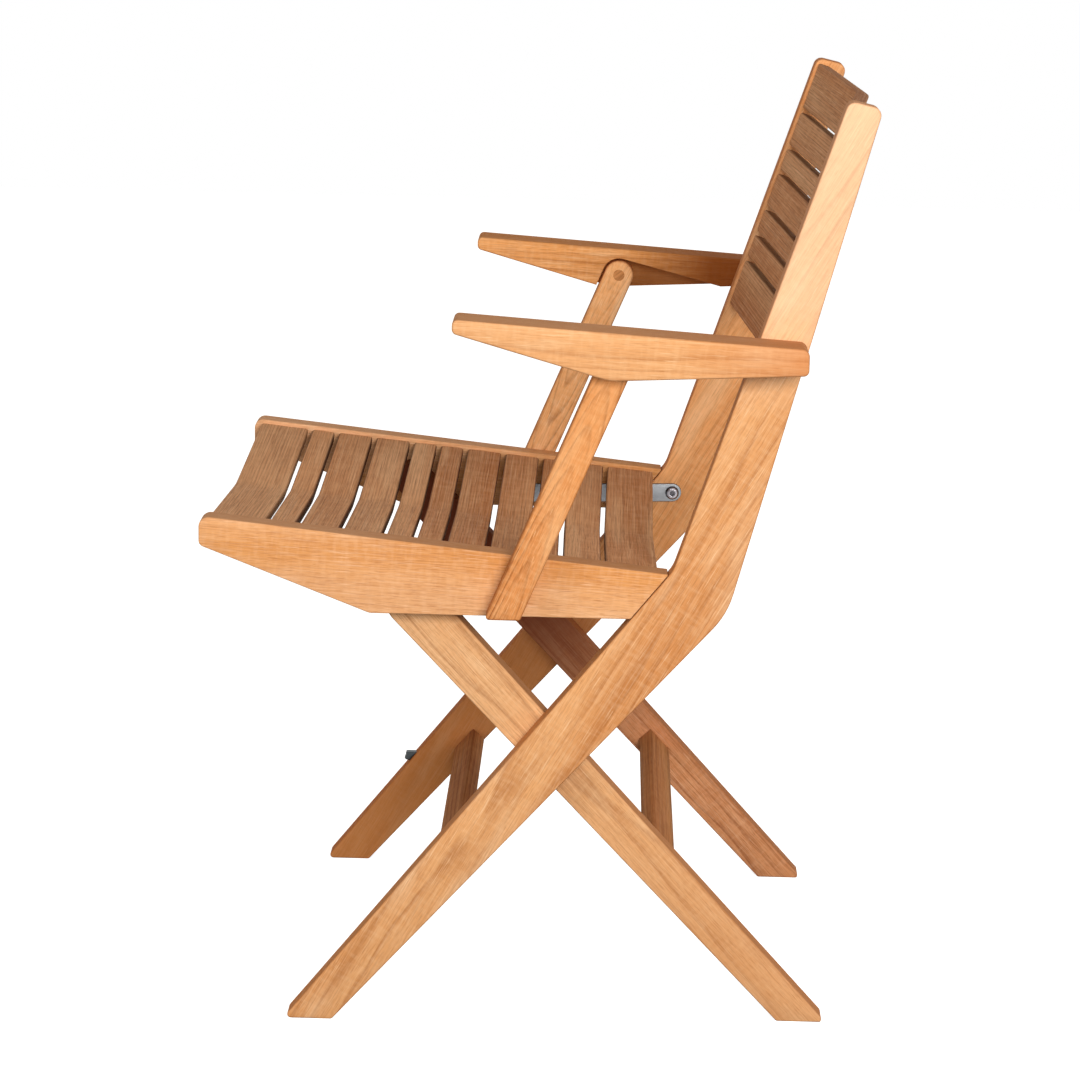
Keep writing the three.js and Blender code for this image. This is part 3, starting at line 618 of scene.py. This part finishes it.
# Seat rails: teak boards in line with the front legs, which they bear on with a bevelled rear end.
# Their undersides taper to the front, and sanding has left pale marks across their faces.
rail_ends = [
    (-305.0, 456.4, 6), (-148.5, 396.3, 14), (90.4, 396.5, 3), (124.7, 439.4, 1.3), (-305.0, 483.6, 9),
]
rail_outline = outline_of(rail_ends)
rail_grain = (0, 0.995, -0.05)
# Quarter-sawn golden teak: straight fine lines, with the silky ripple of its rays across them.
rail_teak = teak(
    "teak, quarter-sawn and oiled, golden",
    light="#FAD2AC", golden="#E2A366", brown="#CC8646", line="#9A5220", rim="#A67A58",
    boldness=0.95, ring=0.0026, ring_share=0.1, figure=0.8,
)
# The rails' rims take a greyer colour, fully on the left rail and less on the right: partly the sawn
# edges' colour, partly painted shade on the left rail's top.
for side, sign, rail_rim_tint_and_shade in (("left", 1, 1.0), ("right", -1, 0.3)):
    faces = sorted((sign * board_inside, sign * board_outside))
    rail_grid = board_grid(rail_outline, *faces, ease=1.1)
    wood_piece(
        mesh_from_grid(f"seat_side_{side}", rail_grid), "seat", [f"seat_rail_{side}"],
        rail_teak, along=rail_grain, across=(0, -rail_grain[2], rail_grain[1]),
        rim_tint_and_shade=rail_rim_tint_and_shade * rim_of(rail_grid),
    )


# Slats of the seat: the same browner teak as the back's, sawn to a shallow V and planed, with their
# ends let in between the rails. They are of three widths.
seat_slope = math.radians(5.86)
# The slats' tones, darker at the rear and paler at the front, are partly painted shade, where the left
# arm and stile shade the rear of the seat. The sawn sides are painted dark as painted shade in the gaps,
# less so on the two outer slats.
lay_row(
    [f"seat_slat_{i}" for i in range(1, 12)], "seat", slat_teak, start=(114.9, 436.7),
    heading=(-math.cos(seat_slope), math.sin(seat_slope)),
    normal=(math.sin(seat_slope), math.cos(seat_slope)), thickness=11, dish=17,
    widths=[47.6, 34.9, 23.3, 34.9, 34.9, 23.3, 23.3, 34.9, 34.9, 23.2, 49.4],
    tones_and_shade=[0.25, 0.85, 0.4, 0.6, 0.9, 0.4, -0.1, 0.2, -0.1, -0.15, -0.35],
    side_shade=[0.5] + [1.45] * 9 + [0.5],
)


# Armrests: deep teak boards, flat on top, that taper to a slim front end. A recess milled into the
# inner face takes the strut, both when the chair stands and when it is folded.
arm_inside, arm_outside = 247.0, 293.0
strut_outside = 269.0
arm_ends = [
    (-74.4, 677.1, 5), (-74.4, 664.4, 5), (66.0, 625.0, 45), (242.0, 633.6, 5), (242.0, 657.2, 7),
]
arm_outline = outline_of(arm_ends)
# The strut turns in the recess from where it points down, with the chair standing, to where it lies
# along the arm. The recess is an arch round the strut's top that runs out straight at both.
strut_top, arch_radius, run_out = np.array([73.9, 640.3]), 17.4, 248.0
standing = math.radians(247.54)
folded = math.radians(345.54)
arch_angle = np.linspace(folded + math.pi / 2, standing + 3 * math.pi / 2, 15)
arch = strut_top + arch_radius * np.column_stack([np.cos(arch_angle), np.sin(arch_angle)])
folded_end = arch[0] + run_out * np.array([math.cos(folded), math.sin(folded)])
standing_end = arch[-1] + run_out * np.array([math.cos(standing), math.sin(standing)])
recess_outline = outline_of([(y, z, 0) for y, z in [folded_end, *arch, standing_end]])


def milled(piece_mesh, cutter_grid):
    """The mesh after a cutter's solid is taken out of it."""
    board = bpy.data.objects.new("uncut", piece_mesh)
    cutter = bpy.data.objects.new("cutter", mesh_from_grid("cutter", cutter_grid))
    for part in (board, cutter):
        bpy.context.scene.collection.objects.link(part)
    cut = board.modifiers.new("recess", "BOOLEAN")
    cut.operation, cut.solver, cut.object = "DIFFERENCE", "EXACT", cutter
    cut_board = board.evaluated_get(bpy.context.evaluated_depsgraph_get())
    mesh = bpy.data.meshes.new_from_object(cut_board)
    mesh.name = piece_mesh.name
    for part in (board, cutter):
        bpy.data.objects.remove(part)
    return mesh


def recess_grid(mouth_x, floor_x, outline, flare=1.0):
    """The recess as a solid. Its outline is carried straight in from the mouth to the floor, and at the
    mouth it is wider by the flare and narrows over the first 1.2 mm, so that the rim is eased."""
    inward = math.copysign(1, floor_x - mouth_x)
    across = np.append(mouth_x + inward * np.array([-3, 0, 0.5, 1.2]), floor_x)
    inset = np.array([-flare, -flare, -0.3 * flare, 0.0, 0.0])
    if inward < 0:
        across, inset = across[::-1], inset[::-1]
    rings = [
        np.column_stack([np.full(len(outline), x), inset_of(outline, depth_in)])
        for x, depth_in in zip(across, inset)
    ]
    return np.stack(rings)


# Fine even teak, tan, with faint lines along the arm, and darker behind the stiles. The right arm
# is browner, and its rear is painted dark brown: painted shade where the left stile keeps the key
# lamp's light off it.
arm_teak = teak(
    "teak, fine-sanded and oiled, tan",
    light="#F6D0A4", golden="#EAB27C", brown="#DC9C62", line="#9C5A26", rim="#A86E44",
    boldness=0.65, ring=0.0035, ring_share=0.4, fade=("Y", 0.12, 0.24, 0.5, "#C87C4C"),
)
arm_teak_shaded_at_rear = teak(
    "teak, fine-sanded and oiled, tan, painted shade at the rear",
    light="#FAD0A0", golden="#F2B274", brown="#E09850", line="#8C4A1C", rim="#B4703A",
    boldness=0.9, ring=0.0035, ring_share=0.5, fade=("Y", 0.08, 0.17, 0.85, "#7E3C0A"),
)
arm_ease, recess_play = 2.2, 1.6
for side, sign, side_teak in (("left", 1, arm_teak), ("right", -1, arm_teak_shaded_at_rear)):
    faces = sorted((sign * arm_inside, sign * arm_outside))
    arm_grid = board_grid(arm_outline, *faces, ease=arm_ease)
    recess = recess_grid(sign * arm_inside, sign * (strut_outside + recess_play), recess_outline)
    arm_mesh = milled(mesh_from_grid(f"arm_board_{side}", arm_grid), recess)
    points = np.empty(len(arm_mesh.vertices) * 3)
    arm_mesh.vertices.foreach_get("co", points)
    x = np.abs(points[::3]) * 1000
    # The arm's narrow top, bottom and ends take the rim colour: partly darker sawn wood, partly painted
    # shade.
    from_faces = np.minimum(x - arm_inside, arm_outside - x)
    wood_piece(
        arm_mesh, f"arm_{side}", [f"armrest_{side}"], side_teak,
        along=(0, 1, -0.04), across=(0, 0.04, 1), rim_tint_and_shade=np.clip(from_faces / arm_ease, 0, 1),
    )


# Arm struts: slim teak bars with a round top, outside the seat rails. A cross-grained teak plug
# covers the screw head at the top of each.
strut_down = np.array([math.cos(standing), math.sin(standing)])
strut_across = np.array([-strut_down[1], strut_down[0]])
strut_radius, foot_height = 15.0, 398.0
plug_radius, plug_proud, plug_depth = 6.0, 0.15, 5.7
round_angle = np.linspace(standing + math.pi / 2, standing + 3 * math.pi / 2, 17)
strut_round = strut_top + strut_radius * np.column_stack([np.cos(round_angle), np.sin(round_angle)])
foot_reach = (strut_round[[-1, 0], 1] - foot_height) / -strut_down[1]
foot_corners = strut_round[[-1, 0]] + foot_reach[:, None] * strut_down
strut_ends = [(*foot_corners[0], 3), (*foot_corners[1], 3)] + [(y, z, 0) for y, z in strut_round]
strut_outline = outline_of(strut_ends)
plug_angle = np.linspace(0, 2 * math.pi, 40, endpoint=False)
plug_outline = strut_top + plug_radius * np.column_stack([np.cos(plug_angle), np.sin(plug_angle)])
# The plug is darker than the strut, because its grain runs across.
plug_teak = teak(
    "teak plug, planed flush",
    light="#E4AC78", golden="#D2945C", brown="#BC7C4A", line="#74431F", rim="#8A5733",
    boldness=1.2, ring=0.002,
)
# Flat-sawn teak, reddish: its rings show as bold pointed arches. The right strut has a paler copy:
# painted light, where the left arm shades it from the key lamp.
strut_teak = teak(
    "teak, flat-sawn and oiled, reddish",
    light="#F8CC98", golden="#DE965A", brown="#CC7E42", line="#7A380C", rim="#A86028",
    boldness=0.7, ring=0.0028, ring_share=1.0, fade=("Z", 0.44, 0.60, 0.4, "#F0AE70"),
)
strut_teak_painted_lighter = teak(
    "teak, flat-sawn and oiled, painted lighter",
    light="#FFDDB2", golden="#FABE84", brown="#EAAA6C", line="#8A4A1C", rim="#A86028",
    boldness=0.6, ring=0.0028, ring_share=0.6,
)
for side, sign, side_teak in (("left", 1, strut_teak), ("right", -1, strut_teak_painted_lighter)):
    faces = sorted((sign * arm_inside, sign * strut_outside))
    strut_grid = board_grid(strut_outline, *faces, ease=2.4)
    wood_piece(
        mesh_from_grid(f"arm_post_{side}", strut_grid), f"strut_{side}", [f"arm_strut_{side}"],
        side_teak, along=(0.06 * sign, *strut_down), across=(0, *strut_across),
        rim_tint_and_shade=rim_of(strut_grid), heart=((-0.003, 0.003), (0.007, 0.010)),
    )
    plug_faces = sorted((sign * (arm_inside - plug_proud), sign * (arm_inside + plug_depth)))
    plug_grid = board_grid(plug_outline, *plug_faces, ease=0.4, steps=2)
    wood_piece(
        mesh_from_grid(f"post_plug_{side}", plug_grid), f"strut_{side}", [f"strut_plug_{side}"],
        plug_teak, along=(0, 0.8, 0.6), across=(0, -0.6, 0.8),
    )


# Links: flat bars of 4 mm stainless steel, one each side, that carry the seat's rear end from the
# stiles. They are punched with round ends, and tumbled to a dull grey.
def steel_finish(name, base, roughness, grit):
    """Steel: its colour wanders between two greys in clouds about 8 mm wide, and its surface has fine
    grit marks, spaced by the grit in metres. Where a point's darkening attribute says so, it is
    painted dark: painted shade in a bolt's socket, and a dark ring round the edge of its head."""
    dark_grey, dark_ring_and_shade_black = "#4A484C", "#26252B"
    metal = bpy.data.materials.new(name)
    metal.use_nodes = True
    tree = metal.node_tree
    tree.nodes.clear()
    spot = add_node(tree, "ShaderNodeTexCoord").outputs["Object"]
    cloud = add_node(tree, "ShaderNodeTexNoise", {"Vector": spot, "Scale": 130.0, "Detail": 2.0})
    speckle = add_node(tree, "ShaderNodeTexNoise", {"Vector": spot, "Scale": 1 / grit, "Detail": 2.0})
    dark_edge = add_node(
        tree, "ShaderNodeAttribute", attribute_name="socket_shade_and_dark_ring", attribute_type="GEOMETRY"
    )
    tone = add_node(
        tree, "ShaderNodeMapRange", {"Value": cloud, "From Min": 0.35, "From Max": 0.65, "To Min": 0.78}
    )
    grey = add_node(
        tree, "ShaderNodeMix", {0: tone, 6: linear(dark_grey), 7: linear(base)}, data_type="RGBA"
    ).outputs[2]
    dark_share = dark_edge.outputs["Fac"]
    colour = add_node(
        tree, "ShaderNodeMix", {0: dark_share, 6: grey, 7: linear(dark_ring_and_shade_black)}, data_type="RGBA"
    ).outputs[2]
    dulled = add_node(
        tree,
        "ShaderNodeMapRange",
        {"Value": cloud, "To Min": roughness - 0.06, "To Max": roughness + 0.08},
    )
    bump = add_node(
        tree, "ShaderNodeBump", {"Height": speckle, "Strength": 0.2, "Distance": 0.00005}
    )
    surface = add_node(
        tree,
        "ShaderNodeBsdfPrincipled",
        {"Base Color": colour, "Metallic": 1.0, "Roughness": dulled, "Normal": bump},
    )
    add_node(tree, "ShaderNodeOutputMaterial", {"Surface": surface})
    return metal


# Tumbling leaves stainless steel an even soft grey, with 0.4 mm grit marks drawn so that they show.
tumbled_steel = steel_finish("stainless steel, tumbled", "#7E8286", 0.42, 0.0004)
link_inside, link_outside = 217.6, 221.6
link_rear, link_front = np.array([135.7, 415.58]), np.array([-22.2, 411.48])
link_end_radius = 9.5
link_heading = math.atan2(*(link_rear - link_front)[::-1])
half_turn = np.linspace(-math.pi / 2, math.pi / 2, 25)
link_ends = []
for centre, heading in ((link_rear, link_heading), (link_front, link_heading + math.pi)):
    spokes = np.column_stack([np.cos(heading + half_turn), np.sin(heading + half_turn)])
    link_ends += [(y, z, 0) for y, z in centre + link_end_radius * spokes]
link_outline = outline_of(link_ends)


def steel_piece(mesh, body, nodes, material):
    """Finishes a steel piece: its material, the body it rides on, and the solids it stands in for."""
    mesh.materials.append(material)
    piece = bpy.data.objects.new(mesh.name, mesh)
    bpy.context.scene.collection.objects.link(piece)
    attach(piece, body)
    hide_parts(*nodes)


for side, sign in (("left", 1), ("right", -1)):
    faces = sorted((sign * link_inside, sign * link_outside))
    steel_piece(
        mesh_from_grid(f"link_bar_{side}", board_grid(link_outline, *faces, ease=0.8, steps=3)),
        f"link_{side}", [f"link_plate_{side}"], tumbled_steel,
    )


# Button bolts: turned stainless bolts with a hexagon socket, one through each end of each link.
# A dark ring is painted round the edge of the head, and the socket is painted dark: painted shade.
def bolt_grid(place, sign, head_top=213.1):
    """A bolt turned round a line across the chair. One parameter runs round it, the other along its
    profile from the socket's floor, out over the head and along the shank. In the socket the radius
    follows a hexagon: its half width divided by the cosine of the angle from the nearest flat."""
    # The profile: depth below the head's top, distance from the middle, and 1 inside the socket.
    depth, reach, hexagon = np.array([
        (2.4, 0.2, 1), (2.4, 2.55, 1), (0.2, 2.6, 1), (0.0, 2.85, 1), (0.0, 3.6, 0), (0.0, 4.9, 0),
        (0.2, 5.25, 0), (0.5, 5.4, 0), (2.1, 6.6, 0), (2.5, 6.9, 0), (2.9, 7.0, 0), (4.2, 7.0, 0),
        (4.4, 6.8, 0), (4.4, 4.0, 0), (21.2, 4.0, 0), (21.6, 3.6, 0),
    ]).T
    round_way = np.linspace(0, 2 * math.pi, 48, endpoint=False)
    from_flat = (round_way + math.pi / 6) % (math.pi / 3) - math.pi / 6
    radius = reach[:, None] * np.where(hexagon[:, None] > 0, 1 / np.cos(from_flat), 1.0)
    x = np.broadcast_to(sign * (head_top + depth[:, None]), radius.shape)
    y, z = place[0] + radius * np.cos(round_way), place[1] + radius * np.sin(round_way)
    grid = np.stack([x, y, z], axis=-1)
    # The socket is painted dark inside as painted shade, and a dark ring is painted round the head's
    # edge.
    dark = np.zeros(radius.shape)
    dark[:3] = 0.75
    dark[8:11] = 1.0
    return (grid, dark) if sign > 0 else (grid[::-1], dark[::-1])


# A machined bolt is brighter and smoother than the link.
turned_steel = steel_finish("stainless steel, turned", "#929096", 0.30, 0.0003)
for side, sign in (("left", 1), ("right", -1)):
    for end, place, body in (("rear", link_rear, "frame"), ("front", link_front, "seat")):
        grid, dark = bolt_grid(place, sign)
        mesh = mesh_from_grid(f"button_bolt_{end}_{side}", grid)
        mesh.attributes.new("socket_shade_and_dark_ring", "FLOAT", "POINT").data.foreach_set("value", dark.ravel())
        mesh.set_sharp_from_angle(angle=math.radians(40))
        steel_piece(mesh, body, [f"link_{end}_bolt_{side}"], turned_steel)


# Pins and washers: plain stainless pins at the pivots, and a washer where the legs cross. They are
# pressed into the boards, which hide all but their edges, so the CAD solids stay as they are.
fixing_kinds = (
    "crossing_pin", "crossing_washer", "leg_top_pin", "arm_pivot_pin", "strut_foot_pin", "strut_top_pin",
)
hidden_fixings = [f"{kind}_{side}" for kind in fixing_kinds for side in ("left", "right")]
for fixing in hidden_fixings:
    fixing_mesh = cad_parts[fixing].data
    fixing_mesh.materials.clear()
    fixing_mesh.materials.append(turned_steel)


# Fold catch: a small blued steel nose fixed to the front edge of the right front leg.
# It is filed from flat bar, with a flat top and a nose below it, and its edges are rounded over.
# Blued steel is nearly black and a little glossy.
blued_steel = steel_finish("spring steel, blued", "#3C4244", 0.38, 0.0004)
catch_ends = [
    (-130.6, 119.6, 0.4), (-142.7, 119.6, 1.2), (-142.3, 116.4, 0.6),
    (-144.0, 113.6, 0.8), (-142.4, 111.4, 0.8), (-138.0, 110.6, 0.4),
]
catch_outline = outline_of(catch_ends, spacing=2.0)
catch_middle, catch_half_width = -(board_inside + board_outside) / 2, 5
catch_grid = board_grid(
    catch_outline, catch_middle - catch_half_width, catch_middle + catch_half_width, ease=0.8
)
steel_piece(mesh_from_grid("leg_catch", catch_grid), "frame", ["fold_catch"], blued_steel)
